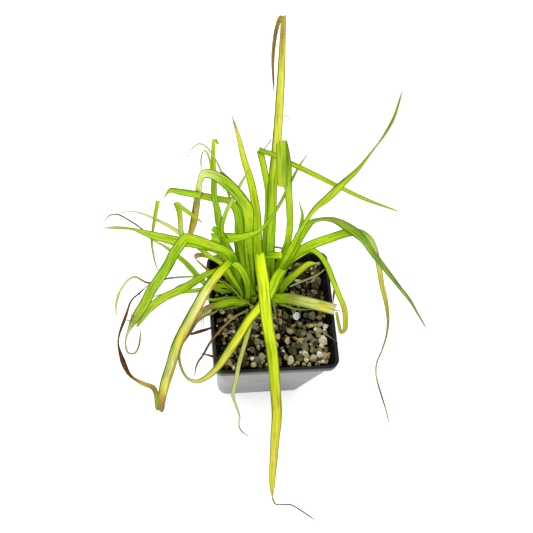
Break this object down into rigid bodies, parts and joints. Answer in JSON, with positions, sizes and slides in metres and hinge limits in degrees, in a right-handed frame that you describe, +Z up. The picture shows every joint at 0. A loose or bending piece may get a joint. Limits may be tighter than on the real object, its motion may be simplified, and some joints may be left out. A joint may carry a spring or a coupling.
{
  "type": "potted carex sedge",
  "caption": "Carex sedge with long, loosely arching and kinked leaves, standing in a tapered square nursery pot topped with grit.",
  "frame": {"origin": "the middle of the pot's underside, on the ground", "axes": "+Z up through the pot; the pot's sides lie along X and Y, and the long lime leaf reaches out over its front, towards -Y"},
  "size_m": [0.2469, 0.3191, 0.2467],
  "materials": {
    "pot_plastic": "satin black, as moulded",
    "soil": "rough, damp potting soil",
    "grit": "rough mixed grit, tan, grey and white",
    "lime_leaf": "satin lime-green leaf with a pale midrib",
    "green_leaf": "satin green leaf with darker margins",
    "yellow_leaf": "satin yellowing leaf, browned in places",
    "pale_leaf": "satin pale green leaf",
    "dead_leaf": "dull dry brown leaf"
  },
  "bodies": {
    "root": {"pot": "pot_plastic", "potting_soil": "soil", "grit_topping": "grit", "rear_shoot": "lime_leaf", "rear_right_shoot": "green_leaf", "right_shoot": "green_leaf", "yellowing_right_shoot": "yellow_leaf", "front_leaf": "yellow_leaf", "front_thin_shoot": "pale_leaf", "rear_left_shoot": "lime_leaf", "left_shoot": "green_leaf", "left_arching_shoot": "lime_leaf", "pale_left_shoot": "pale_leaf", "yellowing_left_shoot": "yellow_leaf", "low_left_shoot": "green_leaf", "dead_leaf": "dead_leaf", "dry_straw": "dead_leaf"}
  },
  "joints": []
}
